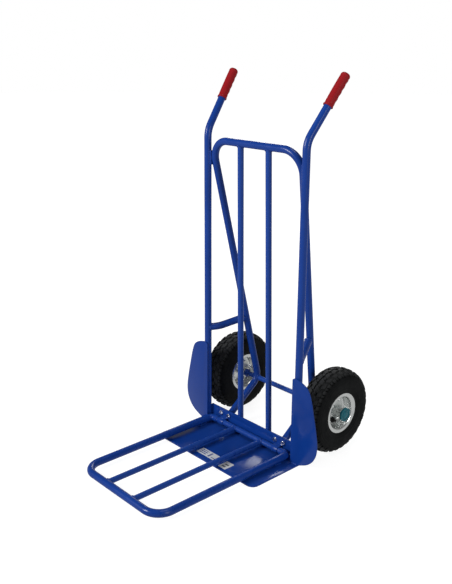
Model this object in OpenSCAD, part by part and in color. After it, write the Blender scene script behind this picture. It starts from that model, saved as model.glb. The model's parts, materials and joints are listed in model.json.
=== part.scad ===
// Folding-toe hand truck: welded round-tube frame, bent toe plate, hinged tubular
// toe extension and two pneumatic wheels on one through axle.
// Millimetres. +X to the side, +Y to the rear (handles), +Z up, z = 0 is the floor.

/* [Frame tubes] */
// Outside diameter of the uprights and of the hoop
tube_d = 22; // [18:0.5:28]
// Wall thickness of all frame tubes
wall = 1.5; // [1:0.1:3]
// Half distance between the two upright axes
upright_x = 195; // [150:1:240]
// Height of the bend where an upright turns into its handle
handle_z = 934; // [800:1:1100]
// Centreline radius of the handle bend
handle_r = 70; // [40:1:120]
// Sideways splay of a handle end
handle_splay = 20; // [0:1:60]
// Rearward reach of a handle end
handle_back = 124.4; // [60:1:200]
// Height of a handle end
handle_top = 1105.5; // [950:1:1250]
// Diameter of the inner vertical bars
bar_d = 18; // [12:0.5:22]
// Half distance between the inner bars at the hoop
bar_x_top = 55.5; // [30:0.5:90]
// Half distance between the inner bars at the flange
bar_x_low = 62; // [30:0.5:90]
// Diameter of the side struts
strut_d = 23; // [12:0.5:25]

/* [Hoop] */
// Height of the hoop's top bar
hoop_z = 908; // [700:1:1000]
// Offset of the hoop's top bar from the upright plane
hoop_y = 1; // [-10:0.5:10]
// Centreline radius of the hoop's upper corners
hoop_r = 62; // [35:1:100]
// Half distance between the hoop legs at the axle
leg_x = 119.8; // [90:0.1:150]
// Half distance between the hoop legs at the top corners
leg_x_top = 179.6; // [150:0.1:200]
// Centreline radius of the kink at the axle
kink_r = 45; // [30:1:80]

/* [Toe plate] */
// Half width of the toe plate
plate_hw = 212; // [150:1:250]
// Distance of the front edge ahead of the uprights
plate_front = 195; // [120:1:260]
// Thickness of the toe plate
plate_t = 4; // [2:0.5:6]
// Height of the rear flange
flange_z = 55; // [40:1:90]
// Half width of the rear flange
flange_hw = 184; // [120:1:200]
// Front face of the rear flange, behind the upright axes
flange_y = 7; // [5:0.5:12]
// Radius of the front corners
plate_r = 22; // [5:1:40]

/* [Wheel guards] */
// Sheet thickness of the guards
guard_t = 3; // [2:0.5:5]

/* [Toe extension] */
// Diameter of the extension's outer tube
ext_d = 22; // [16:0.5:25]
// Half distance between its side tubes
ext_x = 168; // [120:1:175]
// Distance of its front tube ahead of the uprights
ext_front = 494; // [300:1:600]
// Height of the extension's tubes and of its hinge axis
ext_z = 19; // [16:0.5:35]
// Distance of the hinge axis ahead of the uprights
ext_rear = 8; // [6:0.5:20]
// Centreline radius of the front corners
ext_r = 50; // [25:1:90]
// Diameter of the rear tube, which turns in the hinge clips
ext_rear_d = 17; // [12:0.5:20]
// Diameter of the two inner bars
ext_bar_d = 16.5; // [10:0.5:20]
// Half distance between the two inner bars
ext_bar_x = 58; // [30:1:90]

/* [Wheels] */
// Outside diameter of the tyres
tyre_d = 260; // [200:1:320]
// Width of the tyres
tyre_w = 85; // [50:1:110]
// Half distance between the wheel centre planes
wheel_x = 205; // [180:1:240]
// Distance of the axle behind the uprights
axle_y = 144.6; // [120:0.1:180]
// Diameter of the axle
axle_d = 16; // [12:0.5:20]
// Outside diameter of the hub tube
hub_d = 30; // [24:0.5:40]
// Radius of the rim's flanges
rim_r = 63; // [50:1:80]

/* [Fasteners] */
// Height of the hinge bolts
bolt_z = 39.5; // [35:0.5:55]
// Half spacing of the two bolts of a hinge clip
bolt_gap = 16.5; // [16:0.5:20]
// Across flats of the hexagon heads and nuts
hex_af = 10; // [8:0.5:13]

/* [Hidden] */
$fn = 64;
// shift that puts the origin under the middle of the bounding box
y0 = (ext_front + ext_d / 2 - axle_y - tyre_d / 2) / 2;
tr = tube_d / 2;
axle_z = tyre_d / 2;
run_fit = 0.06;
apart = 0.3;
grip_len = 103;
grip_r = 13.8;

// handle line
handle_a = [upright_x, 0, handle_z];
handle_b = [upright_x + handle_splay, handle_back, handle_top];
handle_u = (handle_b - handle_a) / norm(handle_b - handle_a);

// hoop leg: a point of the leg axis at height z, on a line through the axle
function leg_at(z) = [
    leg_x + (leg_x_top - leg_x) * (z - axle_z) / (hoop_z - axle_z),
    axle_y + (hoop_y - axle_y) * (z - axle_z) / (hoop_z - axle_z),
    z];
// the lower leg runs from the axle down to the rear flange
flange_back = flange_y + plate_t;
foot_t = 4;
low_u = unit([0, 6 - axle_y, 24 - axle_z]);
up_u = unit(leg_at(hoop_z) - [leg_x, axle_y, axle_z]);
kink_half = acos(up_u * low_u) / 2;
// vertex behind the axle, so that the bend's middle lies on the axle
kink_off = kink_r / sin(kink_half) - kink_r;
kink_v = [leg_x, axle_y, axle_z] - unit(up_u + low_u) * kink_off;
hoop_v = [leg_x_top, hoop_y, hoop_z];
foot_p = kink_v + low_u * ((kink_v[1] - flange_back - foot_t + 12) / -low_u[1]);

function unit(v) = v / norm(v);
function flip(p) = [-p[0], p[1], p[2]];
function rev(l) = [for (i = [len(l) - 1:-1:0]) l[i]];
// tangent length at vertex i of a path
function tan_len(P, R, i) = i <= 0 || i >= len(P) - 1 ? 0
    : R[i - 1] / tan(acos(unit(P[i - 1] - P[i]) * unit(P[i + 1] - P[i])) / 2);
// where a straight stops short of vertex i: it reaches a little way into the bend, so that they join
function stop_len(P, R, i) = i <= 0 || i >= len(P) - 1 ? 0 : tan_len(P, R, i) - 0.015 * R[i - 1];

// straight rod between two points
module rod(p, q, r) {
    v = q - p;
    translate(p) rotate([0, acos(v[2] / norm(v)), atan2(v[1], v[0])])
        cylinder(h = norm(v), r = r);
}

// one bend of a tube round vertex b
module bend(a, b, c, R, r, t = 0) {
    u = unit(a - b);
    w = unit(c - b);
    half = acos(u * w) / 2;
    m = b + unit(u + w) * R / sin(half);
    s = b + u * (R / tan(half));
    e = b + w * (R / tan(half));
    x = unit(s - m);
    n = unit(cross(s - m, e - m));
    y = cross(n, x);
    multmatrix([[x[0], y[0], n[0], m[0]], [x[1], y[1], n[1], m[1]], [x[2], y[2], n[2], m[2]]])
        rotate_extrude(angle = 180 - 2 * half) translate([R, 0]) difference() {
            circle(r + 0.05);
            if (t > 0) circle(r + 0.05 - t);
        }
}

// solid round bar along path P, with bend radii R at its inner points
module bent(P, R, r) {
    for (i = [0:len(P) - 2]) {
        d = unit(P[i + 1] - P[i]);
        rod(P[i] + d * stop_len(P, R, i), P[i + 1] - d * stop_len(P, R, i + 1), r);
    }
    for (i = [1:1:len(P) - 2]) bend(P[i - 1], P[i], P[i + 1], R[i - 1], r);
}

// hollow straight tube between two points
module pipe(p, q, r, t) {
    v = q - p;
    translate(p) rotate([0, acos(v[2] / norm(v)), atan2(v[1], v[0])]) difference() {
        cylinder(h = norm(v), r = r);
        translate([0, 0, -1]) cylinder(h = norm(v) + 2, r = r - t);
    }
}

// hollow tube along a path, open at both ends
module bent_tube(P, R, r, t) {
    for (i = [0:len(P) - 2]) {
        d = unit(P[i + 1] - P[i]);
        pipe(P[i] + d * stop_len(P, R, i), P[i + 1] - d * stop_len(P, R, i + 1), r, t);
    }
    for (i = [1:1:len(P) - 2]) bend(P[i - 1], P[i], P[i + 1], R[i - 1], r, t + 0.1);
}

module placed() translate([0, y0, 0]) children();
module on_side(s) mirror([s < 0 ? 1 : 0, 0, 0]) children();
module on_both() for (s = [-1, 1]) on_side(s) children();

// paths
upright_path = [[upright_x, 0, plate_t], handle_a, handle_b - handle_u * 8];
hoop_half = [foot_p, kink_v, hoop_v];
hoop_path = concat(hoop_half, [for (p = rev(hoop_half)) flip(p)]);
hoop_radii = [kink_r, hoop_r, hoop_r, kink_r];
strut_end = leg_at(343);
strut_path = [[upright_x, 0, 318], [upright_x - 20, 32, 320], strut_end];
bar_path = [[bar_x_low, flange_back + bar_d / 2 + 0.5, 6], [bar_x_top, hoop_y, hoop_z]];
ext_path = [[140, -ext_rear, ext_z], [ext_x, -ext_rear, ext_z], [ext_x, -ext_front, ext_z],
    [-ext_x, -ext_front, ext_z], [-ext_x, -ext_rear, ext_z], [-140, -ext_rear, ext_z]];
ext_radii = [16, ext_r, ext_r, 16];

blue = [0.11, 0.24, 0.58];
red = [0.72, 0.12, 0.16];
black = [0.08, 0.08, 0.09];
zinc = [0.76, 0.77, 0.78];
teal = [0.08, 0.38, 0.46];

// ---- welded frame ----
module upright(s) color(blue) placed() on_side(s)
    bent_tube(upright_path, [handle_r], tr, wall);
module left_upright() upright(-1);
module right_upright() upright(1);

module hoop_tube() color(blue) placed() difference() {
    bent_tube(hoop_path, hoop_radii, tr, wall);
    // flat cut where the legs meet the foot plates
    translate([-300, flange_back + foot_t - 60, -60]) cube([600, 60, 160]);
    // cross holes for the axle
    rotate([0, 90, 0]) translate([-axle_z, axle_y, -300]) cylinder(h = 600, d = axle_d);
}

module inner_bar(s) color(blue) placed() on_side(s) difference() {
    bent_tube(bar_path, [], bar_d / 2, wall);
    rod([-200, hoop_y, hoop_z], [200, hoop_y, hoop_z], tr);
    translate([0, flange_back - 20, -10]) cube([120, 20, flange_z + 10]);
}
module left_inner_bar() inner_bar(-1);
module right_inner_bar() inner_bar(1);

module side_strut(s) color(blue) placed() on_side(s) difference() {
    bent_tube(strut_path, [120], strut_d / 2, wall);
    rod([upright_x, 0, 200], [upright_x, 0, 440], tr);
    rod(leg_at(250), leg_at(450), tr);
}
module left_side_strut() side_strut(-1);
module right_side_strut() side_strut(1);

// weld beads that join the hoop legs to the uprights
module leg_weld_beads() color(blue) placed() on_both() difference() {
    p = [(upright_x + leg_at(862)[0]) / 2 - 1.5, leg_at(862)[1] / 2, 0];
    for (y = [-4.6, 4.6]) {
        translate([p[0] + 0.35 * y, p[1] + y, 836]) cylinder(h = 36, r = 3.6);
        for (z = [836, 872]) translate([p[0] + 0.35 * y, p[1] + y, z]) sphere(3.6);
    }
    rod([upright_x, 0, 780], [upright_x, 0, 900], tr);
    bend(kink_v, hoop_v, flip(hoop_v), hoop_r, tr);
    rod(leg_at(780), hoop_v + unit(kink_v - hoop_v) * stop_len(hoop_path, hoop_radii, 2), tr);
}

// outline of half the toe plate's flat sheet, with rounded front corners
plate_pts = [for (q = [[[plate_hw - plate_r, plate_r - plate_front], 0], [[plate_r - plate_hw, plate_r - plate_front], 1]])
    for (a = [0:6:90]) q[0] + plate_r * [cos(-a - 90 * q[1]), sin(-a - 90 * q[1])]];

module plate_sheet() {
    linear_extrude(plate_t) polygon(concat(plate_pts, [[-plate_hw, 14], [-flange_hw - 2, 14],
        [-flange_hw - 2, -8], [flange_hw + 2, -8], [flange_hw + 2, 14], [plate_hw, 14]]));
    translate([-flange_hw, 0, 0]) rotate([90, 0, 90]) linear_extrude(2 * flange_hw) {
        translate([-20, 0]) square([flange_back - 6 + 20, plate_t]);
        translate([flange_y, 6]) square([plate_t, flange_z - 6]);
        intersection() {
            translate([flange_back - 6, 6]) difference() { circle(6); circle(6 - plate_t); }
            translate([flange_back - 6, 0]) square([6, 6]);
        }
    }
}

// guard outline: a smooth curve through the corner points of one side
guard_c = [[186, 269], [196, 272], [212, 269], [230, 262.5], [243, 253], [251, 240], [259, 215], [266, 186],
    [273.5, 154], [280, 122], [283.6, 98], [283.6, 78], [279, 57], [267, 36], [250, 21], [230, 11], [212, plate_t]];
function cr(a, b, c, d, t) = 0.5 * ((2 * b) + (c - a) * t + (2 * a - 5 * b + 4 * c - d) * t * t + (3 * b - a - 3 * c + d) * t * t * t);
function smooth(P, n) = concat([for (i = [0:len(P) - 2]) for (k = [0:n - 1])
    cr(P[max(i - 1, 0)], P[i], P[i + 1], P[min(i + 2, len(P) - 1)], k / n)], [P[len(P) - 1]]);
module wheel_guard(s) color(blue) placed() on_side(s)
    translate([0, -tr, 0]) rotate([90, 0, 0]) linear_extrude(guard_t)
        polygon(concat([[183.5, plate_t], [183.5, 266]], smooth(guard_c, 4)));
module left_wheel_guard() wheel_guard(-1);
module right_wheel_guard() wheel_guard(1);

// feet of the hoop legs, bolted to the back of the flange
module leg_foot_plates() color(blue) placed() on_both() difference() {
    translate([leg_x - 26, flange_back, 9]) cube([52, foot_t, flange_z - 13]);
    bolt_holes();
}
module bolt_holes() for (x = [-bolt_gap, bolt_gap])
    translate([leg_x + x, -40, bolt_z]) rotate([-90, 0, 0]) cylinder(h = 100, d = 6.4);

module toe_plate() color(blue) placed() difference() {
    plate_sheet();
    on_both() bolt_holes();
}

// ---- handle grips: sleeve with a collar and a domed end over the tube end ----
module grip(s) color(red) placed() on_side(s)
    multmatrix(let (z = handle_u, x = unit(cross([0, 1, 0], z)), y = cross(z, x), o = handle_b - z * grip_len)
        [[x[0], y[0], z[0], o[0]], [x[1], y[1], z[1], o[1]], [x[2], y[2], z[2], o[2]]])
    rotate_extrude() difference() {
        union() {
            square([grip_r + 1.2, 4]);
            square([grip_r, grip_len - 7]);
            translate([0, grip_len - 7]) intersection() {
                translate([0, -8]) circle(15.9);
                square([grip_r, 8]);
            }
        }
        translate([-1, -1]) square([tr + 1, grip_len - 8 + 1]);
        translate([-40, -10]) square([40, 200]);
    }
module left_grip() grip(-1);
module right_grip() grip(1);

// ---- axle and what sits on it ----
hub_in = 168;   // inner end of a hub
hub_out = 249;  // outer end of a hub
module axle() color(blue) placed()
    translate([-(hub_out + 4), axle_y, axle_z]) rotate([0, 90, 0]) cylinder(h = 2 * (hub_out + 4), d = axle_d);
module ring_x(x, len, ro, ri) translate([x, axle_y, axle_z]) rotate([0, 90, 0]) difference() {
    cylinder(h = len, r = ro);
    translate([0, 0, -1]) cylinder(h = len + 2, r = ri);
}
module axle_collars() color(blue) placed() on_both() ring_x(hub_in - 9.8, 8, 12.5, axle_d / 2);
module axle_washers() color(zinc) placed() on_both() {
    ring_x(hub_in - 1.8, 1.5, 14, axle_d / 2);
}
module hub_cap(s) color(teal) placed() on_side(s) translate([hub_out + apart, axle_y, axle_z]) rotate([0, 90, 0])
    difference() {
        intersection() {
            cylinder(h = 6, r = 23, $fn = 6);
            cylinder(h = 6, r = 21.3);
        }
        translate([0, 0, -1]) cylinder(h = 4.7, d = axle_d);
        translate([0, 0, 4.8]) difference() { cylinder(h = 2, r = 15); translate([0, 0, -1]) cylinder(h = 4, r = 11.5); }
    }
module left_hub_cap() hub_cap(-1);
module right_hub_cap() hub_cap(1);

// ---- hinge of the toe extension ----
eye_w = 24;
// underside of the strap from an eye back to the flange
strap_z = ext_z + ext_rear_d / 2 + run_fit;
module hinge_clips() color(blue) placed() on_both() difference() {
    union() {
        translate([leg_x - 24, flange_y - 2, bolt_z - 9]) cube([48, 2, 19]);
        translate([leg_x - eye_w / 2, flange_y - 2, strap_z]) cube([eye_w, 2, bolt_z - strap_z]);
        translate([leg_x - eye_w / 2, -ext_rear, strap_z]) cube([eye_w, ext_rear + flange_y - 1, 2]);
        translate([leg_x - eye_w / 2, -ext_rear, ext_z]) rotate([0, 90, 0]) cylinder(h = eye_w, r = ext_rear_d / 2 + run_fit + 2);
    }
    translate([leg_x - 40, -ext_rear, ext_z]) rotate([0, 90, 0]) cylinder(h = 80, r = ext_rear_d / 2 + run_fit);
    bolt_holes();
}
module hinge_bolts() color(zinc) placed() on_both() for (x = [-bolt_gap, bolt_gap])
    translate([leg_x + x, flange_y - 2, bolt_z]) rotate([-90, 0, 0]) {
        translate([0, 0, -5.5]) cylinder(h = 4.5, d = hex_af / cos(30), $fn = 6);
        translate([0, 0, -1.6]) cylinder(h = 1.6, d = 14);
        translate([0, 0, -1]) cylinder(h = 3 + plate_t + foot_t + 8, d = 6);
    }
module hinge_nuts() color(zinc) placed() on_both() for (x = [-bolt_gap, bolt_gap])
    translate([leg_x + x, flange_back + foot_t, bolt_z]) rotate([-90, 0, 0]) rotate(30) difference() {
        cylinder(h = 5, d = hex_af / cos(30), $fn = 6);
        translate([0, 0, -1]) cylinder(h = 7, d = 6);
    }
// stops on the plate that the extension's side tubes lie over
module rest_stops() color(blue) placed() on_both()
    translate([ext_x - 6, -64, plate_t]) cube([12, 24, ext_z - ext_d / 2 - apart - plate_t]);

// ---- folding toe extension ----
module extension_frame() color(blue) placed() bent_tube(ext_path, ext_radii, ext_d / 2, wall);
module extension_rear_tube() color(blue) placed()
    bent_tube([[-149, -ext_rear, ext_z], [149, -ext_rear, ext_z]], [], ext_rear_d / 2, wall);
module ext_bar(s) color(blue) placed() on_side(s) difference() {
    bent_tube([[ext_bar_x, -ext_rear, ext_z], [ext_bar_x, -ext_front, ext_z]], [], ext_bar_d / 2, wall);
    rod([0, -ext_rear, ext_z], [120, -ext_rear, ext_z], ext_rear_d / 2);
    rod([0, -ext_front, ext_z], [120, -ext_front, ext_z], ext_d / 2);
}
module extension_left_bar() ext_bar(-1);
module extension_right_bar() ext_bar(1);

// ---- wheels ----
// puts a wheel's own frame on the axle: +Z outwards, z = 0 the wheel's centre plane, +X down
module wheel_turn(s) placed() on_side(s) translate([wheel_x, axle_y, axle_z]) rotate([0, 90, 0]) children();
function sgn_pow(v, p) = sign(v) * pow(abs(v), p);
// cross-section of a tyre: a squarish ellipse of half height h and half width w
function tyre_pts(h, w, rc, p) = [for (a = [0:6:354]) [rc + h * sgn_pow(sin(a), p), w * sgn_pow(cos(a), p)]];
tyre_rc = 88;
module tyre(s) color(black) wheel_turn(s) rotate_extrude($fn = 96) difference() {
    polygon(tyre_pts(tyre_d / 2 - tyre_rc, tyre_w / 2, tyre_rc, 0.78));
    polygon(tyre_pts(tyre_d / 2 - tyre_rc - 8, tyre_w / 2 - 5, tyre_rc, 0.8));
    // open between the beads, and clear of the rim's seats and flanges
    translate([0, -100]) square([53.5, 200]);
    translate([0, -22]) square([62, 44]);
    for (k = [30, -60]) translate([0, k]) square([56, 30]);
    for (k = [33.8, -63.8]) translate([0, k]) square([rim_r + 0.7, 30]);
}
module left_tyre() tyre(-1);
module right_tyre() tyre(1);

module inner_tube(s) color(black) wheel_turn(s) rotate_extrude($fn = 96) difference() {
    polygon(tyre_pts(tyre_d / 2 - tyre_rc - 9.5, tyre_w / 2 - 8, tyre_rc + 1, 0.85));
    polygon(tyre_pts(tyre_d / 2 - tyre_rc - 11.5, tyre_w / 2 - 10, tyre_rc + 1, 0.85));
}
module left_inner_tube() inner_tube(-1);
module right_inner_tube() inner_tube(1);

// pressed rim half on the +offset side of the centre plane
module rim_profile() {
    // disc
    translate([hub_d / 2, 0]) square([50 - 8 - hub_d / 2, 2]);
    // rounded corner between disc and bead seat
    translate([42, 8]) intersection() {
        difference() { circle(8); circle(6); }
        translate([0, -8]) square([8, 8]);
    }
    // bead seat
    translate([48, 8]) square([2, 20]);
    // flange: turns outwards, then a rolled lip
    translate([56, 28]) intersection() {
        difference() { circle(8); circle(6); }
        translate([-8, 0]) square([8, 8]);
    }
    translate([56, 34]) square([rim_r - 56 - 1, 2]);
    translate([rim_r - 1, 35]) circle(1.2);
}
rim_bolt_r = 34;
module rim_holes() for (a = [45:90:315])
    rotate(a) translate([rim_bolt_r, 0, -20]) cylinder(h = 40, d = 6.4);
// the valve hole goes through the outer half, below the hub
module valve_hole() translate([rim_bolt_r, 0, -1]) cylinder(h = 30, d = 13);
module rim_outer(s) color(zinc) wheel_turn(s) difference() {
    rotate_extrude($fn = 96) rim_profile();
    rim_holes();
    valve_hole();
}
module rim_inner(s) color(zinc) wheel_turn(s) mirror([0, 0, 1]) difference() {
    rotate_extrude($fn = 96) rim_profile();
    rim_holes();
    valve_hole();
}
module left_rim_outer() rim_outer(-1);
module right_rim_outer() rim_outer(1);
module left_rim_inner() rim_inner(-1);
module right_rim_inner() rim_inner(1);

module hub_tube(s) color(zinc) wheel_turn(s) translate([0, 0, hub_in - wheel_x]) difference() {
    cylinder(h = hub_out - hub_in, d = hub_d);
    translate([0, 0, -1]) cylinder(h = hub_out - hub_in + 2, d = hub_d - 4);
}
module left_hub_tube() hub_tube(-1);
module right_hub_tube() hub_tube(1);

module hub_bearings(s) color(zinc) wheel_turn(s) for (z = [hub_in, hub_out - 14]) translate([0, 0, z - wheel_x]) difference() {
    cylinder(h = 14, d = hub_d - 4);
    translate([0, 0, -1]) cylinder(h = 16, r = axle_d / 2 + run_fit);
}
module left_hub_bearings() hub_bearings(-1);
module right_hub_bearings() hub_bearings(1);

module rim_bolts(s) color(zinc) wheel_turn(s) for (a = [45:90:315]) rotate(a) translate([rim_bolt_r, 0, 0]) {
    translate([0, 0, 2]) cylinder(h = 4, d = 11.5, $fn = 6);
    translate([0, 0, -10]) cylinder(h = 12, d = 6);
}
module left_rim_bolts() rim_bolts(-1);
module right_rim_bolts() rim_bolts(1);
module rim_nuts(s) color(zinc) wheel_turn(s) for (a = [45:90:315]) rotate(a) translate([rim_bolt_r, 0, -7]) difference() {
    cylinder(h = 5, d = 11.5, $fn = 6);
    translate([0, 0, -1]) cylinder(h = 7, d = 6);
}
module left_rim_nuts() rim_nuts(-1);
module right_rim_nuts() rim_nuts(1);

// rubber valve stem with its cap, standing in the valve hole
module valve(s) color(black) wheel_turn(s) translate([rim_bolt_r, 0, 0]) {
    cylinder(h = 9, r = 5);
    translate([0, 0, 2]) cylinder(h = 3, r = 8.6);
    translate([0, 0, 8.5]) cylinder(h = 5, r = 4.1);
}
module left_valve() valve(-1);
module right_valve() valve(1);

left_upright();
right_upright();
hoop_tube();
left_inner_bar();
right_inner_bar();
left_side_strut();
right_side_strut();
leg_weld_beads();
toe_plate();
left_wheel_guard();
right_wheel_guard();
leg_foot_plates();
left_grip();
right_grip();
axle();
axle_collars();
axle_washers();
left_hub_cap();
right_hub_cap();
hinge_clips();
hinge_bolts();
hinge_nuts();
rest_stops();
extension_frame();
extension_rear_tube();
extension_left_bar();
extension_right_bar();
left_tyre();
right_tyre();
left_inner_tube();
right_inner_tube();
left_rim_outer();
right_rim_outer();
left_rim_inner();
right_rim_inner();
left_hub_tube();
right_hub_tube();
left_hub_bearings();
right_hub_bearings();
left_rim_bolts();
right_rim_bolts();
left_rim_nuts();
right_rim_nuts();
left_valve();
right_valve();
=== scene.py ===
import json
import math
import bpy
import bmesh
from mathutils import Matrix, Vector

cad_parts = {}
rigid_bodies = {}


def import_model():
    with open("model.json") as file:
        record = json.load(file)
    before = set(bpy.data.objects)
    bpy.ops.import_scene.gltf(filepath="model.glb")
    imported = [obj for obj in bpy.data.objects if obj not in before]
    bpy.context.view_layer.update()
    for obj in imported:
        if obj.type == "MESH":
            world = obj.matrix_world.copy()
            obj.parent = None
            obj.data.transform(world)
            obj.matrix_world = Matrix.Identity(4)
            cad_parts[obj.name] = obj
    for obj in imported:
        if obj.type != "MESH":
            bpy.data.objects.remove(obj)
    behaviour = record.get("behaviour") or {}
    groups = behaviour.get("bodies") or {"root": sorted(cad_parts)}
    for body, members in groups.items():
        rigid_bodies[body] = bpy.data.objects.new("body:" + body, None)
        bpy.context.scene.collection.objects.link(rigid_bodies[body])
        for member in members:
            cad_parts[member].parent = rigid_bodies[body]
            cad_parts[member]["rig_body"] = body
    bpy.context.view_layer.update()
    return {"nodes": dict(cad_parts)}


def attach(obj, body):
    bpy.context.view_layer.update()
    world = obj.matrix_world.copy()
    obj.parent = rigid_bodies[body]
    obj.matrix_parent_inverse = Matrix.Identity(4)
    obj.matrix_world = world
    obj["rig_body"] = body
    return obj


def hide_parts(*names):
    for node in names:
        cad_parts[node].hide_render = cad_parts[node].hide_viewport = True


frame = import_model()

NODES = frame["nodes"]
Y0 = 0.1152            # the upright axes' place along Y in the row frame
AXLE = Vector((0, 0.1446 + Y0, 0.130))
WHEEL_X = 0.205
scene = bpy.context.scene


def P(x, y, z):
    """A point in millimetres from the upright plane, as metres in the row frame."""
    return Vector((x / 1000, y / 1000 + Y0, z / 1000))


# ---------------------------------------------------------------- camera
def make_camera():
    a, e, roll = math.radians(47.5), math.radians(16.9), math.radians(0.3)
    back = Vector((math.sin(a) * math.cos(e), -math.cos(a) * math.cos(e), math.sin(e)))
    right = Vector((math.cos(a), math.sin(a), 0))
    up = back.cross(right)
    r = math.cos(roll) * right + math.sin(roll) * up
    u = -math.sin(roll) * right + math.cos(roll) * up
    data = bpy.data.cameras.new("camera")
    data.lens = 48.66
    data.sensor_width = 36
    data.shift_x = 0.0014
    data.shift_y = -0.0156
    data.clip_end = 50
    cam = bpy.data.objects.new("camera", data)
    scene.collection.objects.link(cam)
    m = Matrix((r, u, back)).transposed().to_4x4()
    m.translation = P(1575.5, -1550.2, 1178.8)
    cam.matrix_world = m
    scene.camera = cam


make_camera()


# ---------------------------------------------------------------- node helpers
class Mat:
    def __init__(self, name, **sockets):
        self.m = bpy.data.materials.new(name)
        self.m.use_nodes = True
        self.t = self.m.node_tree
        self.b = self.t.nodes["Principled BSDF"]
        for k, v in sockets.items():
            self.b.inputs[k.replace("_", " ")].default_value = v
        self.coord = self.t.nodes.new("ShaderNodeTexCoord")
        self.out = self.coord.outputs["Object"]

    def node(self, kind, **props):
        n = self.t.nodes.new(kind)
        for k, v in props.items():
            setattr(n, k, v)
        return n

    def link(self, a, b):
        self.t.links.new(a, b)

    def noise(self, scale, detail=3.0, rough=0.55, stretch=None, distort=0.0):
        n = self.node("ShaderNodeTexNoise")
        n.inputs["Scale"].default_value = scale
        n.inputs["Detail"].default_value = detail
        n.inputs["Roughness"].default_value = rough
        n.inputs["Distortion"].default_value = distort
        src = self.out
        if stretch:
            mp = self.node("ShaderNodeMapping")
            mp.inputs["Scale"].default_value = stretch
            self.link(src, mp.inputs["Vector"])
            src = mp.outputs["Vector"]
        self.link(src, n.inputs["Vector"])
        return n.outputs["Fac"]

    def voronoi(self, scale, feature="F1", stretch=None):
        n = self.node("ShaderNodeTexVoronoi", feature=feature)
        n.inputs["Scale"].default_value = scale
        src = self.out
        if stretch:
            mp = self.node("ShaderNodeMapping")
            mp.inputs["Scale"].default_value = stretch
            self.link(src, mp.inputs["Vector"])
            src = mp.outputs["Vector"]
        self.link(src, n.inputs["Vector"])
        return n

    def ramp(self, fac, stops):
        n = self.node("ShaderNodeValToRGB")
        el = n.color_ramp.elements
        while len(el) < len(stops):
            el.new(0.5)
        for k, (pos, col) in enumerate(stops):
            el[k].position = pos
            el[k].color = (*col, 1) if len(col) == 3 else col
        self.link(fac, n.inputs["Fac"])
        return n.outputs["Color"]

    def spread(self, fac, lo, hi, a=0.3, b=0.7):
        n = self.node("ShaderNodeMapRange")
        n.inputs["From Min"].default_value = a
        n.inputs["From Max"].default_value = b
        n.inputs["To Min"].default_value = lo
        n.inputs["To Max"].default_value = hi
        self.link(fac, n.inputs["Value"])
        return n.outputs["Result"]

    def mix(self, fac, a, b, mode="MIX"):
        n = self.node("ShaderNodeMix", data_type="RGBA", blend_type=mode)
        for sock, v in ((n.inputs["Factor"], fac), (n.inputs["A"], a), (n.inputs["B"], b)):
            pass
        fa, ca, cb = n.inputs[0], n.inputs[6], n.inputs[7]
        for sock, v in ((fa, fac), (ca, a), (cb, b)):
            if isinstance(v, (int, float)):
                sock.default_value = v
            elif isinstance(v, tuple):
                sock.default_value = (*v, 1)
            else:
                self.link(v, sock)
        return n.outputs[2]

    def math(self, op, a, b=None):
        n = self.node("ShaderNodeMath", operation=op)
        for sock, v in zip(n.inputs, (a, b)):
            if v is None:
                continue
            if isinstance(v, (int, float)):
                sock.default_value = v
            else:
                self.link(v, sock)
        return n.outputs[0]

    def color(self, c):
        self.link(c, self.b.inputs["Base Color"])

    def rough(self, r):
        self.link(r, self.b.inputs["Roughness"])

    def bump(self, height, strength, distance, prev=None):
        n = self.node("ShaderNodeBump")
        n.inputs["Strength"].default_value = strength
        n.inputs["Distance"].default_value = distance
        self.link(height, n.inputs["Height"])
        if prev is not None:
            self.link(prev, n.inputs["Normal"])
        self.link(n.outputs["Normal"], self.b.inputs["Normal"])
        return n.outputs["Normal"]

    def edges(self, lo, hi):
        """0 on flats, 1 on convex edges."""
        g = self.node("ShaderNodeNewGeometry")
        return self.spread(g.outputs["Pointiness"], 0.0, 1.0, lo, hi)


def paint(name, base, deep, light, peel=1.0, lo=0.20, hi=0.34, level=0.24):
    """Glossy powder coat: cloudy shade, orange peel, fine specks, thin scuffs and paler edges."""
    m = Mat(name, Coat_Weight=0.02, Coat_Roughness=0.06, Specular_IOR_Level=level)
    cloud = m.noise(5.0, 4.0, 0.6)
    c = m.ramp(cloud, [(0.30, deep), (0.52, base), (0.75, light)])
    c = m.mix(m.spread(m.noise(420.0, 2.0), 0.0, 0.30, 0.55, 0.75), c, deep)
    scuff = m.noise(60.0, 5.0, 0.7, stretch=(1.0, 1.0, 0.12), distort=0.4)
    scuff = m.spread(scuff, 0.0, 0.16, 0.66, 0.76)
    c = m.mix(scuff, c, (0.05, 0.11, 0.36))
    c = m.mix(m.spread(m.edges(0.53, 0.62), 0.0, 0.22, 0.0, 1.0), c, (0.03, 0.10, 0.42))
    dust = m.spread(m.noise(1500.0, 1.0), 0.0, 0.14, 0.72, 0.82)
    c = m.mix(dust, c, (0.16, 0.22, 0.44))
    m.color(c)
    m.rough(m.spread(m.noise(30.0, 5.0, 0.65), lo, hi))
    n = m.bump(m.noise(520.0, 2.0), 0.08 * peel, 0.0005)
    m.bump(m.noise(38.0, 2.0), 0.08 * peel, 0.0010, n)
    return m.m


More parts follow.
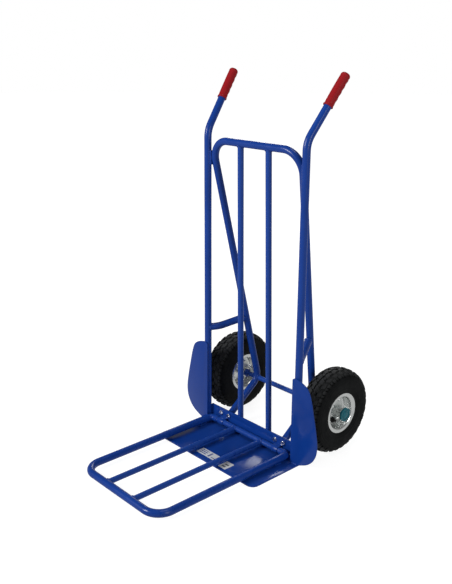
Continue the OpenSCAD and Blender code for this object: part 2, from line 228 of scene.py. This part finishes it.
def zinc(name, tint, rough_lo, rough_hi, spangle=160.0):
    m = Mat(name, Metallic=1.0, Specular_IOR_Level=0.5)
    v = m.voronoi(spangle)
    c = m.mix(m.spread(v.outputs["Color"], 0.0, 0.14, 0.2, 0.9), tint, tuple(x * 0.78 for x in tint))
    stain = m.spread(m.noise(26.0, 6.0, 0.7), 0.0, 0.24, 0.52, 0.75)
    c = m.mix(stain, c, tuple(x * 0.62 for x in tint))
    fine = m.spread(m.noise(900.0, 2.0), 0.0, 0.12, 0.55, 0.75)
    c = m.mix(fine, c, tuple(x * 0.7 for x in tint))
    m.color(c)
    m.rough(m.spread(m.noise(70.0, 5.0, 0.7), rough_lo, rough_hi))
    n = m.bump(m.noise(300.0, 3.0), 0.015, 0.0003)
    m.bump(m.noise(45.0, 2.0), 0.02, 0.0008, n)
    return m.m


def rubber(name, base, pale, rough=0.62, grain=700.0, strength=0.35, dusty=0.5, spec=0.35):
    m = Mat(name, Specular_IOR_Level=spec)
    c = m.mix(m.spread(m.noise(9.0, 5.0, 0.65), 0.0, dusty, 0.45, 0.75), base, pale)
    c = m.mix(m.spread(m.noise(grain, 2.0), 0.0, 0.4, 0.5, 0.8), c, pale)
    m.color(c)
    m.rough(m.spread(m.noise(55.0, 4.0), rough - 0.10, rough + 0.14))
    n = m.bump(m.noise(grain, 3.0), strength, 0.0004)
    m.bump(m.noise(90.0, 3.0), strength * 0.6, 0.0008, n)
    return m.m


BLUE = (0.0060, 0.0440, 0.272)
M_FRAME = paint("blue_powder_coat", BLUE, (0.0042, 0.0370, 0.238), (0.0080, 0.0510, 0.302))
M_PLATE = paint("blue_powder_coat_sheet", (0.0052, 0.0410, 0.258), (0.0038, 0.0345, 0.226), (0.0072, 0.0480, 0.288), 0.35, 0.12, 0.22, 0.24)
M_ZINC = zinc("zinc_plated_steel", (0.84, 0.86, 0.85), 0.17, 0.32)
M_BRIGHT = zinc("bright_zinc", (0.86, 0.87, 0.88), 0.14, 0.30, 500.0)
M_BEARING = zinc("bearing_steel", (0.45, 0.46, 0.48), 0.20, 0.34, 300.0)


def tyre_material():
    """Dark sidewall and paler tread blocks, told apart by the distance from the axle; the tread's paleness is painted
    light falling on it from above.
    """
    m = Mat("tyre_rubber", Specular_IOR_Level=0.10)
    sep = m.node("ShaderNodeSeparateXYZ")
    m.link(m.out, sep.inputs[0])
    dy = m.math("SUBTRACT", sep.outputs[1], AXLE.y)
    dz = m.math("SUBTRACT", sep.outputs[2], AXLE.z)
    r = m.math("SQRT", m.math("ADD", m.math("MULTIPLY", dy, dy), m.math("MULTIPLY", dz, dz)))
    # mask of the tread band, which takes the painted light
    tread = m.spread(r, 0.0, 1.0, 0.1150, 0.1210)
    cloud = m.spread(m.noise(9.0, 5.0, 0.65), 0.0, 0.5, 0.45, 0.75)
    wall = m.mix(cloud, (0.0034, 0.0040, 0.0044), (0.0105, 0.0115, 0.0120))
    # tread blocks several times paler than the sidewall: painted light falling on the tread from above, not a different
    # rubber
    block = m.mix(cloud, (0.0300, 0.0312, 0.0322), (0.0660, 0.0675, 0.0690))
    c = m.mix(tread, wall, block)
    c = m.mix(m.spread(m.noise(620.0, 2.0), 0.0, 0.3, 0.5, 0.8), c, (0.022, 0.023, 0.024))
    m.color(c)
    m.rough(m.spread(m.noise(55.0, 4.0), 0.50, 0.72))
    n = m.bump(m.noise(620.0, 3.0), 0.40, 0.0004)
    m.bump(m.noise(90.0, 3.0), 0.24, 0.0008, n)
    return m.m


M_TYRE = tyre_material()
M_GRIP = rubber("red_grip_rubber", (0.30, 0.0062, 0.0105), (0.33, 0.010, 0.015), 0.46, 900.0, 0.5, 0.4, 0.16)
M_BLACK = rubber("black_rubber", (0.010, 0.010, 0.011), (0.035, 0.035, 0.036), 0.55)
M_TUBE = rubber("inner_tube_rubber", (0.014, 0.014, 0.014), (0.04, 0.04, 0.04), 0.55)


def cap_material():
    m = Mat("teal_cap", Specular_IOR_Level=0.28, Coat_Weight=0.05, Coat_Roughness=0.15)
    c = m.ramp(m.noise(120.0, 4.0, 0.6), [(0.32, (0.002, 0.092, 0.128)), (0.55, (0.003, 0.128, 0.170)), (0.8, (0.008, 0.172, 0.218))])
    c = m.mix(m.spread(m.noise(900.0, 1.0), 0.0, 0.3, 0.6, 0.8), c, (0.02, 0.20, 0.25))
    m.color(c)
    m.rough(m.spread(m.noise(80.0, 3.0), 0.26, 0.42))
    m.bump(m.noise(600.0, 2.0), 0.15, 0.0004)
    return m.m


M_CAP = cap_material()


def label_material(name, ground, ink, bars):
    """A plain white sticker with generic blocks, no lettering. bars: list of (u0, u1, v0, v1) in the sticker's own metres."""
    m = Mat(name, Specular_IOR_Level=0.5)
    sep = m.node("ShaderNodeSeparateXYZ")
    m.link(m.out, sep.inputs[0])
    total = None
    for u0, u1, v0, v1 in bars:
        f = m.math("MULTIPLY", m.math("GREATER_THAN", sep.outputs[0], u0), m.math("LESS_THAN", sep.outputs[0], u1))
        g = m.math("MULTIPLY", m.math("GREATER_THAN", sep.outputs[1], v0), m.math("LESS_THAN", sep.outputs[1], v1))
        f = m.math("MULTIPLY", f, g)
        total = f if total is None else m.math("MAXIMUM", total, f)
    c = m.mix(m.spread(m.noise(200.0, 4.0), 0.0, 0.35), ground, tuple(x * 0.82 for x in ground))
    c = m.mix(total, c, ink)
    m.color(c)
    m.rough(m.spread(m.noise(150.0, 3.0), 0.30, 0.45))
    m.bump(m.noise(400.0, 2.0), 0.08, 0.0003)
    return m.m


# ---------------------------------------------------------------- mesh helpers
def to_object(name, bm, material, body, angle=35, also=()):
    bmesh.ops.recalc_face_normals(bm, faces=bm.faces)
    me = bpy.data.meshes.new(name)
    bm.to_mesh(me)
    bm.free()
    me.shade_smooth()
    me.set_sharp_from_angle(angle=math.radians(angle))
    o = bpy.data.objects.new(name, me)
    scene.collection.objects.link(o)
    me.materials.append(material)
    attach(o, body)
    if also:
        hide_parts(*also)
    return o


def lathe_into(bm, profile, segs, place, twist=None):
    """Revolves a profile of (radius, offset) round the local Z axis. Points of radius 0 become poles. place maps a local Vector to the row frame."""
    rings = []
    closed = profile[0] == profile[-1]
    pts = profile[:-1] if closed else profile
    for r, z in pts:
        if r <= 1e-9:
            rings.append([bm.verts.new(place(Vector((0, 0, z))))])
        else:
            rings.append([bm.verts.new(place(Vector((r * math.cos(2 * math.pi * k / segs), r * math.sin(2 * math.pi * k / segs), z)))) for k in range(segs)])
    n = len(rings)
    for i in range(n if closed else n - 1):
        a, b = rings[i], rings[(i + 1) % n]
        for k in range(segs):
            k2 = (k + 1) % segs
            if len(a) == 1 and len(b) == 1:
                continue
            if len(a) == 1:
                bm.faces.new((a[0], b[k], b[k2]))
            elif len(b) == 1:
                bm.faces.new((a[k], b[0], a[k2]))
            else:
                bm.faces.new((a[k], b[k], b[k2], a[k2]))
    return rings


def remade(node, material, bevel=0.0006, segments=2, angle=30, body=None, name=None):
    """A CAD node's own shape as a new piece with softened edges."""
    src = NODES[node]
    bm = bmesh.new()
    bm.from_mesh(src.data)
    bmesh.ops.remove_doubles(bm, verts=bm.verts, dist=1e-6)
    bmesh.ops.dissolve_limit(bm, angle_limit=math.radians(0.4), verts=bm.verts, edges=bm.edges)
    edges = [e for e in bm.edges if len(e.link_faces) == 2 and e.calc_face_angle(0) > math.radians(angle)]
    bmesh.ops.bevel(bm, geom=edges, offset=bevel, offset_type="OFFSET", segments=segments, profile=0.5, affect="EDGES", clamp_overlap=True)
    return to_object(name or node + "_finished", bm, material, body or src["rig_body"], 30, (node,))


# ---------------------------------------------------------------- finishes of the carried-over CAD nodes
def dress(node, material):
    o = NODES[node]
    o.data.materials.clear()
    o.data.materials.append(material)


for n in ("left_upright", "right_upright", "hoop_tube", "left_inner_bar", "right_inner_bar", "left_side_strut",
          "right_side_strut", "leg_weld_beads", "axle", "axle_collars", "leg_foot_plates", "hinge_clips",
          "rest_stops", "extension_frame", "extension_rear_tube", "extension_left_bar", "extension_right_bar"):
    dress(n, M_FRAME)
for n in ("toe_plate", "left_wheel_guard", "right_wheel_guard"):
    dress(n, M_PLATE)
for n in ("left_grip", "right_grip"):
    dress(n, M_GRIP)
for n in ("axle_washers", "left_rim_outer", "right_rim_outer", "left_rim_inner", "right_rim_inner",
          "left_hub_tube", "right_hub_tube"):
    dress(n, M_ZINC)
for n in ("hinge_bolts", "hinge_nuts", "left_rim_bolts", "right_rim_bolts", "left_rim_nuts", "right_rim_nuts"):
    dress(n, M_BRIGHT)
for n in ("left_hub_bearings", "right_hub_bearings"):
    dress(n, M_BEARING)
for n in ("left_hub_cap", "right_hub_cap"):
    dress(n, M_CAP)
for n in ("left_valve", "right_valve"):
    dress(n, M_BLACK)
for n in ("left_tyre", "right_tyre"):
    dress(n, M_TYRE)
for n in ("left_inner_tube", "right_inner_tube"):
    dress(n, M_TUBE)


# ---------------------------------------------------------------- tyres with block tread
def tyre_r(x):
    """Outer radius of the tyre at offset x from its centre plane, in millimetres."""
    return 88 + 42 * max(0.0, 1 - (abs(x) / 42.5) ** 2.564) ** 0.39


def tyre(side):
    sx = -1 if side == "left" else 1
    turn = Matrix(((0, 0, 1), (0, 1, 0), (-1, 0, 0)))   # local +Z outwards, local +X down

    def place(v):
        w = turn @ (v / 1000)
        return Vector((sx * (WHEEL_X + w.x), AXLE.y + w.y, AXLE.z + w.z))

    groove = 6.0
    outer = []
    for k in range(0, 33):                      # from the inner shoulder over the crown to the outer shoulder
        x = -37.5 + 75 * k / 32
        outer.append((tyre_r(x) - groove * min(1.0, (38.5 - abs(x)) / 4), x))
    # sidewall with raised rings, from shoulder to bead
    wall = []
    for k in range(0, 41):
        a = k / 40
        rr = 113.0 - a * (113.0 - 64.0)
        t = (rr - 88) / 42
        if t >= 0:
            xx = 42.5 * (1 - t ** 2.564) ** 0.39
        else:
            xx = 42.5 * (1 - (-t) ** 2.564) ** 0.39
        d = 0.0
        for centre, half, h in ((104.5, 1.2, 0.55), (97.5, 0.9, 0.45), (77.0, 1.3, 0.7), (70.0, 1.0, 0.5)):
            d += h * math.exp(-((rr - centre) / half) ** 2)
        xx = min(xx - 0.75 + d, 42.5)
        wall.append((rr, xx))
    bead = [(62.6, 36.9), (60.5, 35.2), (58.2, 33.6), (56.3, 31.2), (54.6, 28.8), (53.6, 26.0), (53.6, 21.5)]
    inner = [(60.0, 21.5), (66.0, 30.0), (76.0, 35.0), (88.0, 37.0), (100.0, 35.0), (112.0, 26.0), (118.0, 12.0), (119.0, 0.0)]
    half = [p for p in wall if p[1] > 0] + bead + inner
    # full closed section: outer crown, outer wall, bead, inside, and back by symmetry
    section = [(r, x) for r, x in outer] + [(r, x) for r, x in half]
    mirrored = [(r, -x) for r, x in reversed(half[:-1])]
    section = section + mirrored
    section.append(section[0])
    bm = bmesh.new()
    lathe_into(bm, section, 160, place)

    # tread blocks
    def block(a0, a1, x0, x1, skew, lift=0.0):
        nu, nv = 3, 4
        top, base = [], []
        for j in range(nv + 1):
            v = j / nv
            x = x0 + (x1 - x0) * v
            rowt, rowb = [], []
            for i in range(nu + 1):
                u = i / nu
                ang = a0 + (a1 - a0) * u + skew * (v - 0.5)
                inset = 0.0
                rt = tyre_r(x) - lift
                rb = tyre_r(x) - groove - 1.6
                # walls lean in slightly towards the top
                ac = (a0 + a1) / 2 + skew * (v - 0.5)
                xt = (x0 + x1) / 2 + (x - (x0 + x1) / 2) * 0.94
                at = ac + (ang - ac) * 0.92
                rt = min(tyre_r(xt) - lift, 129.95)
                rowt.append(bm.verts.new(place(Vector((rt * math.cos(at), rt * math.sin(at), xt)))))
                rowb.append(bm.verts.new(place(Vector((rb * math.cos(ang), rb * math.sin(ang), x)))))
            top.append(rowt)
            base.append(rowb)
        faces = []
        for j in range(nv):
            for i in range(nu):
                faces.append((top[j][i], top[j][i + 1], top[j + 1][i + 1], top[j + 1][i]))
                faces.append((base[j][i], base[j + 1][i], base[j + 1][i + 1], base[j][i + 1]))
        for i in range(nu):
            faces.append((top[0][i + 1], top[0][i], base[0][i], base[0][i + 1]))
            faces.append((top[nv][i], top[nv][i + 1], base[nv][i + 1], base[nv][i]))
        for j in range(nv):
            faces.append((top[j][0], top[j + 1][0], base[j + 1][0], base[j][0]))
            faces.append((top[j + 1][nu], top[j][nu], base[j][nu], base[j + 1][nu]))
        for f in faces:
            bm.faces.new(f)

    count = 30
    step = 2 * math.pi / count
    for k in range(count):
        a = k * step
        for sgn in (-1, 1):
            off = 0.0 if sgn < 0 else 0.5
            # centre blocks, skewed in opposite directions on the two halves
            c = a + off * step
            block(c - 0.33 * step, c + 0.27 * step, sgn * 2.2, sgn * 15.0, sgn * 0.30 * step)
            # shoulder blocks, half a step on, running down the shoulder, long and short in turn
            c = a + (off + 0.5) * step
            far = 39.6 if k % 2 else 37.6
            block(c - 0.26 * step, c + 0.26 * step, sgn * 18.5, sgn * 27.5, sgn * -0.22 * step, 0.1)
            c = a + off * step
            block(c - 0.24 * step, c + 0.24 * step, sgn * 29.5, sgn * far, sgn * -0.10 * step, 0.0)
            c = a + (off + 0.5) * step
            block(c - 0.15 * step, c + 0.15 * step, sgn * 29.5, sgn * 36.0, sgn * -0.10 * step, 1.6)
            # small tie bars between centre blocks
            c = a + (off + 0.5) * step
            block(c - 0.16 * step, c + 0.16 * step, sgn * 3.0, sgn * 11.0, 0.0, 2.6)
    return to_object(side + "_tyre_tread", bm, M_TYRE, side + "_wheel", 32, (side + "_tyre",))


for side in ("left", "right"):
    tyre(side)


# ---------------------------------------------------------------- grips with finger ridges
def grip(side):
    sx = -1 if side == "left" else 1
    a = Vector((195, 0, 934))
    b = Vector((215, 124.4, 1105.5))
    w = (b - a).normalized()
    down = Vector((0, 0.6, -0.8))
    e1 = (down - w * down.dot(w)).normalized()     # the underside, where the fingers lie
    e2 = w.cross(e1)
    o = b - w * 103

    def place(x, y, z):
        p = o + e1 * x + e2 * y + w * z
        return P(sx * p.x, p.y, p.z)

    segs = 72
    prof = []
    prof += [(11.05, 0.0, 0), (13.4, 0.0, 0), (14.1, 0.4, 0), (14.5, 1.2, 0), (14.5, 2.6, 0), (14.2, 3.4, 0), (13.6, 4.4, 0), (13.2, 6.0, 0)]
    z = 7.0
    while z < 92.2:
        prof.append((13.0, z, 1))
        z += 0.9
    for k in range(0, 13):
        t = k / 12 * math.pi / 2
        prof.append((13.5 * math.cos(t) ** 0.5 if k < 12 else 0.0, 92.6 + 8.6 * math.sin(t), 0))
    bm = bmesh.new()
    rings = []
    for r, zz, wavy in prof:
        ring = []
        if r == 0.0:
            ring.append(bm.verts.new(place(0, 0, zz)))
        else:
            for k in range(segs):
                t = 2 * math.pi * k / segs
                rr = r
                if wavy:
                    ends = min(1.0, (zz - 6) / 6, (93 - zz) / 8)
                    ends = max(0.0, ends)
                    under = max(0.0, math.cos(t)) ** 1.2
                    wave = 0.5 + 0.5 * math.cos((zz - 8.5) / 86 * 2 * math.pi * 4.5)
                    rr += ends * under * (1.5 * wave - 0.5)
                    # shallow palm swell on the top, with fine lengthwise flutes
                    rr += ends * 0.55 * max(0.0, -math.cos(t)) * math.sin(math.pi * (zz - 6) / 90)
                    rr += 0.16 * ends * math.cos(24 * t) * max(0.0, -math.cos(t) + 0.3)
                rr = min(rr, 14.9)
                ring.append(bm.verts.new(place(rr * math.cos(t), rr * math.sin(t), zz)))
        rings.append(ring)
    # bore that holds the tube
    bore = []
    for r, zz in ((11.05, 60.0),):
        bore.append([bm.verts.new(place(r * math.cos(2 * math.pi * k / segs), r * math.sin(2 * math.pi * k / segs), zz)) for k in range(segs)])
    pole = bm.verts.new(place(0, 0, 60.0))
    for k in range(segs):
        k2 = (k + 1) % segs
        for i in range(len(rings) - 1):
            x, y = rings[i], rings[i + 1]
            if len(y) == 1:
                bm.faces.new((x[k], x[k2], y[0]))
            else:
                bm.faces.new((x[k], x[k2], y[k2], y[k]))
        bm.faces.new((rings[0][k2], rings[0][k], bore[0][k], bore[0][k2]))
        bm.faces.new((bore[0][k2], bore[0][k], pole))
    return to_object(side + "_grip_sleeve", bm, M_GRIP, "frame", 40, (side + "_grip",))


for side in ("left", "right"):
    grip(side)


# ---------------------------------------------------------------- weld beads
def sweep_ring(bm, pts, normals, radius, ripple=0.18, waves=None, seed=0.0, segs=10):
    """Closed bead through pts; radius in metres; the bead's ripples follow its length."""
    n = len(pts)
    rings = []
    length = sum((pts[(i + 1) % n] - pts[i]).length for i in range(n))
    waves = waves or max(8, int(length / 0.0022))
    for i in range(n):
        t = (pts[(i + 1) % n] - pts[i - 1]).normalized()
        nrm = normals[i]
        u = (nrm - t * nrm.dot(t)).normalized()
        v = t.cross(u)
        s = 2 * math.pi * i / n
        rr = radius * (1 + ripple * 0.5 * math.sin(waves * s + seed) + 0.08 * math.sin(3 * s + seed * 1.7))
        rings.append([bm.verts.new(pts[i] + u * rr * math.cos(2 * math.pi * k / segs) + v * rr * math.sin(2 * math.pi * k / segs)) for k in range(segs)])
    for i in range(n):
        a, b = rings[i], rings[(i + 1) % n]
        for k in range(segs):
            k2 = (k + 1) % segs
            bm.faces.new((a[k], b[k], b[k2], a[k2]))


def saddle(bm, start, toward, rb, main_p, main_d, rm, bead, seed=0.0, n=120):
    """Bead where a branch tube (axis from start, direction toward, radius rb) meets a main tube. Millimetres from the upright plane."""
    start, toward = Vector(start), Vector(toward).normalized()
    main_p, main_d = Vector(main_p), Vector(main_d).normalized()
    helper = Vector((0, 0, 1)) if abs(toward.z) < 0.8 else Vector((1, 0, 0))
    e1 = (helper - toward * helper.dot(toward)).normalized()
    e2 = toward.cross(e1)
    pts, nrm = [], []
    for i in range(n):
        t = 2 * math.pi * i / n
        radial = e1 * math.cos(t) + e2 * math.sin(t)
        p0 = start + radial * rb
        # p0 + s * toward on the main cylinder: the root on the branch's side
        w = p0 - main_p
        wp = w - main_d * w.dot(main_d)
        dp = toward - main_d * toward.dot(main_d)
        a, b, c = dp.dot(dp), 2 * wp.dot(dp), wp.dot(wp) - rm * rm
        disc = max(b * b - 4 * a * c, 0.0)
        s = (-b + math.sqrt(disc)) / (2 * a)
        q = p0 + toward * s
        out = q - main_p
        out = (out - main_d * out.dot(main_d)).normalized()
        q = q + (radial + out).normalized() * bead * 0.12
        pts.append(P(q.x, q.y, q.z))
        nrm.append((radial + out).normalized())
    sweep_ring(bm, pts, nrm, bead / 1000, seed=seed)


def ring_bead(bm, centre, axis, radius, bead, seed=0.0, n=120):
    """Bead round a tube where it meets a flat face. Millimetres."""
    centre, axis = Vector(centre), Vector(axis).normalized()
    helper = Vector((0, 0, 1)) if abs(axis.z) < 0.8 else Vector((1, 0, 0))
    e1 = (helper - axis * helper.dot(axis)).normalized()
    e2 = axis.cross(e1)
    pts, nrm = [], []
    for i in range(n):
        t = 2 * math.pi * i / n
        radial = e1 * math.cos(t) + e2 * math.sin(t)
        q = centre + radial * (radius + bead * 0.1)
        pts.append(P(q.x, q.y, q.z))
        nrm.append(radial)
    sweep_ring(bm, pts, nrm, bead / 1000, seed=seed)


def line_bead(bm, a, b, bead, seed=0.0, segs=10, normal=(0, -1, 0)):
    """Straight bead from a to b with rounded ends. Millimetres."""
    a, b = Vector(a), Vector(b)
    d = (b - a)
    length = d.length
    d.normalize()
    u = (Vector(normal) - d * Vector(normal).dot(d)).normalized()
    v = d.cross(u)
    n = max(8, int(length / 0.8))
    rings = []
    for i in range(n + 1):
        s = i / n
        end = min(1.0, s * length / bead, (1 - s) * length / bead)
        r = bead * max(0.0, 1 - (1 - end) ** 2) ** 0.5 * (1 + 0.10 * math.sin(s * length / 2.4 * 2 * math.pi + seed) + 0.06 * math.sin(s * 5 + seed))
        q = a + d * (s * length)
        if i in (0, n):
            rings.append([bm.verts.new(P(*q))])
        else:
            rings.append([bm.verts.new(P(*(q + u * r * math.cos(2 * math.pi * k / segs) + v * r * math.sin(2 * math.pi * k / segs)))) for k in range(segs)])
    for i in range(n):
        x, y = rings[i], rings[i + 1]
        for k in range(segs):
            k2 = (k + 1) % segs
            if len(x) == 1:
                bm.faces.new((x[0], y[k], y[k2]))
            elif len(y) == 1:
                bm.faces.new((x[k], y[0], x[k2]))
            else:
                bm.faces.new((x[k], y[k], y[k2], x[k2]))


def leg_at(z):
    f = (z - 130) / (908 - 130)
    return Vector((119.8 + (179.6 - 119.8) * f, 144.6 + (1 - 144.6) * f, z))


def flip(v, s):
    v = Vector(v)
    return Vector((v.x * s, v.y, v.z))


def frame_welds():
    bm = bmesh.new()
    for s in (-1, 1):
        # inner bars under the hoop's top bar, and behind the flange
        top, low = Vector((s * 55.5, 1, 908)), Vector((s * 62, 20.5, 6))
        saddle(bm, top, low - top, 9, (0, 1, 908), (1, 0, 0), 11, 2.3, s)
        for dx in (-7.6, 7.6):
            line_bead(bm, (s * 62 + dx, 13.4, 12), (s * 61.7 + dx, 12.8, 52), 2.4, s + dx, normal=(0, 1, 0))
        # side struts
        a, b, c = Vector((s * 195, 0, 318)), Vector((s * 175, 32, 320)), flip(leg_at(343), s)
        saddle(bm, a, b - a, 9.7, (s * 195, 0, 300), (0, 0, 1), 11, 2.4, s * 2.1)
        saddle(bm, c, b - c, 9.9, c, flip(leg_at(450), s) - c, 11, 2.7, s * 1.3)
        # uprights on the plate
        ring_bead(bm, (s * 195, 0, 4.6), (0, 0, 1), 11, 2.4, s * 0.7)
        # guards to uprights, behind the sheet, and to the plate
        for dx in (-7.2, 7.2):
            line_bead(bm, (s * 195 + s * dx, -9.6, 30), (s * 195 + s * dx, -9.6, 70), 2.0, dx)
            line_bead(bm, (s * 195 + s * dx, -9.6, 120), (s * 195 + s * dx, -9.6, 160), 2.0, dx + 1)
            line_bead(bm, (s * 195 + s * dx, -9.6, 215), (s * 195 + s * dx, -9.6, 255), 2.0, dx + 2)
        line_bead(bm, (s * 184.5, -14.2, 4.6), (s * 211, -14.2, 4.6), 2.2, s)
        line_bead(bm, (s * 184.5, -10.8, 4.6), (s * 186, -10.8, 4.6), 1.6, s)
        # flange ends to uprights
        line_bead(bm, (s * 184.8, 7.4, 8), (s * 184.8, 7.4, 53), 2.3, s + 0.4)
        # axle through the legs, and collars on the axle
        for x in (119.8 - 10.6, 119.8 + 10.6):
            ring_bead(bm, (s * x, 144.6, 130), (1, 0, 0), 8, 2.4, s + x)
        ring_bead(bm, (s * 158.2, 144.6, 130), (1, 0, 0), 8, 1.8, s)
        # legs on their foot plates
        ring_ellipse(bm, s)
    return to_object("frame_weld_seams", bm, M_FRAME, "frame", 60)


def ring_ellipse(bm, s):
    """Bead where a leg's lower end meets its foot plate."""
    d = Vector((0, 6 - 144.6, 24 - 130)).normalized()
    c = Vector((s * 119.8, 144.6, 130))
    # the kink's vertex lies a little behind the axle
    up = (leg_at(908) - Vector((119.8, 144.6, 130))).normalized()
    half = math.acos(max(-1, min(1, up.dot(d)))) / 2
    off = 45 / math.sin(half) - 45
    k = Vector((119.8, 144.6, 130)) - (up + d).normalized() * off
    t = (15.0 - k.y) / d.y
    centre = k + d * t
    pts, nrm = [], []
    e1 = Vector((1, 0, 0))
    e2 = d.cross(e1).normalized()
    for i in range(120):
        a = 2 * math.pi * i / 120
        radial = e1 * math.cos(a) + e2 * math.sin(a)
        q = Vector((s * centre.x, centre.y, centre.z)) + radial * 11
        q = q + d * ((15.0 - q.y) / d.y)
        pts.append(P(q.x, q.y + 0.4, q.z))
        nrm.append((radial + Vector((0, 0.6, 0))).normalized())
    sweep_ring(bm, pts, nrm, 0.0017, seed=s)


def extension_welds():
    bm = bmesh.new()
    for s in (-1, 1):
        saddle(bm, (s * 58, -494, 19), (0, 1, 0), 8.25, (0, -494, 19), (1, 0, 0), 11, 2.3, s)
        saddle(bm, (s * 58, -8, 19), (0, -1, 0), 8.25, (0, -8, 19), (1, 0, 0), 8.5, 2.2, s + 1)
        ring_bead(bm, (s * 140, -8, 19), (1, 0, 0), 8.5, 1.7, s)
    return to_object("extension_weld_seams", bm, M_FRAME, "extension", 60)


frame_welds()
extension_welds()


# ---------------------------------------------------------------- plain stickers on the toe plate
def sticker(name, x0, x1, y0, y1, material):
    bm = bmesh.new()
    t = 0.00018
    lo, hi = P(x0, y0, 4), P(x1, y1, 4)
    r = 0.0015
    pts = []
    for cx, cy, a0 in ((hi.x - r, hi.y - r, 0), (lo.x + r, hi.y - r, 90), (lo.x + r, lo.y + r, 180), (hi.x - r, lo.y + r, 270)):
        for k in range(5):
            a = math.radians(a0 + 22.5 * k)
            pts.append((cx + r * math.cos(a), cy + r * math.sin(a)))
    top = [bm.verts.new((x, y, lo.z + t)) for x, y in pts]
    base = [bm.verts.new((x, y, lo.z - 0.0002)) for x, y in pts]
    bm.faces.new(top)
    bm.faces.new(list(reversed(base)))
    for i in range(len(pts)):
        j = (i + 1) % len(pts)
        bm.faces.new((top[j], top[i], base[i], base[j]))
    return to_object(name, bm, material, "frame", 30)


def bars_in(x0, y0, items):
    return [((x0 + a) / 1000, (x0 + b) / 1000, (y0 + c) / 1000 + Y0, (y0 + d) / 1000 + Y0) for a, b, c, d in items]


sticker("plate_sticker_long", -49, 46, -176, -146,
        label_material("sticker_long", (0.70, 0.72, 0.75), (0.03, 0.06, 0.25),
                       bars_in(-49, -176, [(6, 34, 6, 10), (6, 34, 14, 18), (6, 34, 22, 25), (44, 50, 5, 26), (58, 89, 6, 9)])))
sticker("plate_sticker_small", 59, 89, -186, -148,
        label_material("sticker_small", (0.72, 0.73, 0.72), (0.10, 0.11, 0.11),
                       bars_in(59, -186, [(6, 20, 8, 14), (8, 22, 20, 26)])))


# ---------------------------------------------------------------- pieces remade with softened edges
for n in ("toe_plate", "left_wheel_guard", "right_wheel_guard"):
    remade(n, M_PLATE, 0.0008)
for n in ("leg_foot_plates", "hinge_clips", "axle_collars", "rest_stops"):
    remade(n, M_FRAME, 0.0005)
for n in ("left_hub_cap", "right_hub_cap"):
    remade(n, M_CAP, 0.0006)
for n in ("hinge_bolts", "hinge_nuts", "left_rim_bolts", "right_rim_bolts", "left_rim_nuts", "right_rim_nuts"):
    remade(n, M_BRIGHT, 0.0004)


# ---------------------------------------------------------------- floor and light
def plain_material(name, color, glow):
    m = Mat(name, Roughness=0.9, Specular_IOR_Level=0.0, Emission_Color=(1, 1, 1, 1), Emission_Strength=glow)
    m.color(m.ramp(m.noise(1.5, 3.0), [(0.3, tuple(x * 0.97 for x in color)), (0.7, color)]))
    return m.m


def pale_floor():
    """Pale near the object, where its shade falls, and as bright as the backdrop further out."""
    m = Mat("pale_floor", Roughness=0.9, Specular_IOR_Level=0.0, Emission_Color=(1, 1, 1, 1))
    m.color(m.ramp(m.noise(1.5, 3.0), [(0.3, (0.29, 0.29, 0.29)), (0.7, (0.30, 0.30, 0.30))]))
    far = m.node("ShaderNodeVectorMath", operation="LENGTH")
    m.link(m.out, far.inputs[0])
    m.link(m.spread(far.outputs["Value"], 0.90, 1.02, 0.9, 3.0), m.b.inputs["Emission Strength"])
    return m.m


def only_for_camera(o):
    o.visible_diffuse = False
    o.visible_glossy = False
    o.visible_transmission = False
    o.visible_volume_scatter = False
    o.visible_shadow = False


bpy.ops.mesh.primitive_plane_add(size=40, location=(0, 0, 0))
floor = bpy.context.object
floor.name = "floor"
floor.data.materials.append(pale_floor())
only_for_camera(floor)
bpy.ops.mesh.primitive_uv_sphere_add(segments=48, ring_count=24, radius=18, location=(0, 0, 0))
backdrop = bpy.context.object
backdrop.name = "backdrop"
backdrop.data.shade_smooth()
backdrop.data.materials.append(plain_material("pale_backdrop", (0.0, 0.0, 0.0), 1.0))
only_for_camera(backdrop)


def area(name, loc, target, size, power, color=(1, 1, 1)):
    d = bpy.data.lights.new(name, "AREA")
    d.shape = "RECTANGLE"
    d.size, d.size_y = size
    d.energy = power
    d.color = color
    o = bpy.data.objects.new(name, d)
    scene.collection.objects.link(o)
    o.location = loc
    o.rotation_euler = (Vector(target) - Vector(loc)).to_track_quat("-Z", "Y").to_euler()
    return o


area("key", (-1.6, -3.6, 2.3), (0, 0, 0.45), (1.3, 1.5), 152)
area("top", (0.4, 0.4, 3.6), (0, 0, 0.4), (1.2, 1.2), 16)
area("side", (3.6, -0.4, 1.5), (0, 0, 0.5), (0.7, 1.6), 40)
area("back", (-2.2, 2.8, 1.8), (0, 0, 0.5), (1.6, 1.2), 30)
world = bpy.data.worlds.new("studio")
scene.world = world
world.use_nodes = True
wt = world.node_tree
bg = wt.nodes["Background"]
bg.inputs["Color"].default_value = (1, 1, 1, 1)
wc = wt.nodes.new("ShaderNodeTexCoord")
ws = wt.nodes.new("ShaderNodeSeparateXYZ")
wm = wt.nodes.new("ShaderNodeMapRange")
wm.inputs["From Min"].default_value = -0.25
wm.inputs["From Max"].default_value = 0.45
wm.inputs["To Min"].default_value = 0.50
wm.inputs["To Max"].default_value = 0.14
wt.links.new(wc.outputs["Generated"], ws.inputs[0])
wt.links.new(ws.outputs[2], wm.inputs["Value"])
wt.links.new(wm.outputs["Result"], bg.inputs["Strength"])
scene.view_settings.view_transform = "Standard"
scene.view_settings.look = "None"
